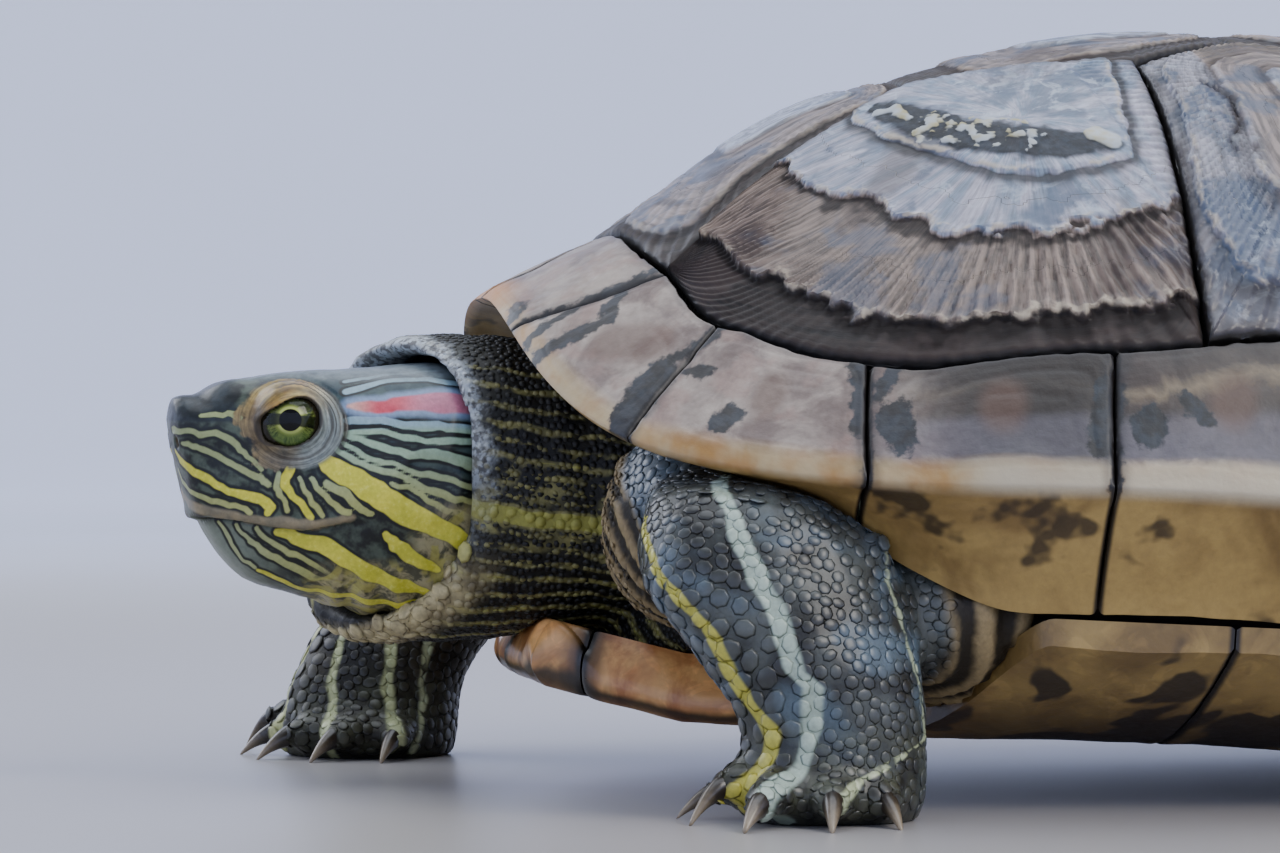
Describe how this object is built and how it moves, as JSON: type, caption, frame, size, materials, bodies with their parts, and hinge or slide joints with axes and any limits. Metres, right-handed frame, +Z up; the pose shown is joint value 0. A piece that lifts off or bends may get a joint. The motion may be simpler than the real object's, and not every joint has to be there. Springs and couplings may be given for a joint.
{
  "type": "red-eared slider turtle",
  "caption": "Life-size standing red-eared slider turtle: domed plated shell, striped head and neck held forward, webbed clawed feet, short tail.",
  "frame": {"origin": "on the floor, under the middle of the whole animal's box", "axes": "+Z up, the head looks along -Y, the animal's left side is +X"},
  "size_m": [0.2074, 0.2886, 0.1039],
  "materials": {
    "carapace": "satin horn, ridged and weathered",
    "marginals": "satin horn with dark blotches",
    "plastron": "smooth horn, satin",
    "skin": "scaled skin, striped, slightly damp",
    "bone": "matt, seen only in the seams",
    "eye": "wet gloss"
  },
  "bodies": {
    "root": {"trunk": "bone", "nuchal": "marginals", "vertebral_1": "carapace", "vertebral_2": "carapace", "vertebral_3": "carapace", "vertebral_4": "carapace", "vertebral_5": "carapace", "gulars": "plastron", "humerals": "plastron", "pectorals": "plastron", "abdominals": "plastron", "femorals": "plastron", "anals": "plastron", "costal_left_1": "carapace", "costal_left_2": "carapace", "costal_left_3": "carapace", "costal_left_4": "carapace", "marginal_left_1": "marginals", "marginal_left_2": "marginals", "marginal_left_3": "marginals", "marginal_left_4": "marginals", "marginal_left_5": "marginals", "marginal_left_6": "marginals", "marginal_left_7": "marginals", "marginal_left_8": "marginals", "marginal_left_9": "marginals", "marginal_left_10": "marginals", "marginal_left_11": "marginals", "marginal_left_12": "marginals", "eye_left": "eye", "costal_right_1": "carapace", "costal_right_2": "carapace", "costal_right_3": "carapace", "costal_right_4": "carapace", "marginal_right_1": "marginals", "marginal_right_2": "marginals", "marginal_right_3": "marginals", "marginal_right_4": "marginals", "marginal_right_5": "marginals", "marginal_right_6": "marginals", "marginal_right_7": "marginals", "marginal_right_8": "marginals", "marginal_right_9": "marginals", "marginal_right_10": "marginals", "marginal_right_11": "marginals", "marginal_right_12": "marginals", "eye_right": "eye", "head": "skin", "jaw": "skin", "neck": "skin", "leg_front_left": "skin", "leg_front_right": "skin", "leg_hind_left": "skin", "leg_hind_right": "skin", "tail": "skin"}
  },
  "joints": []
}
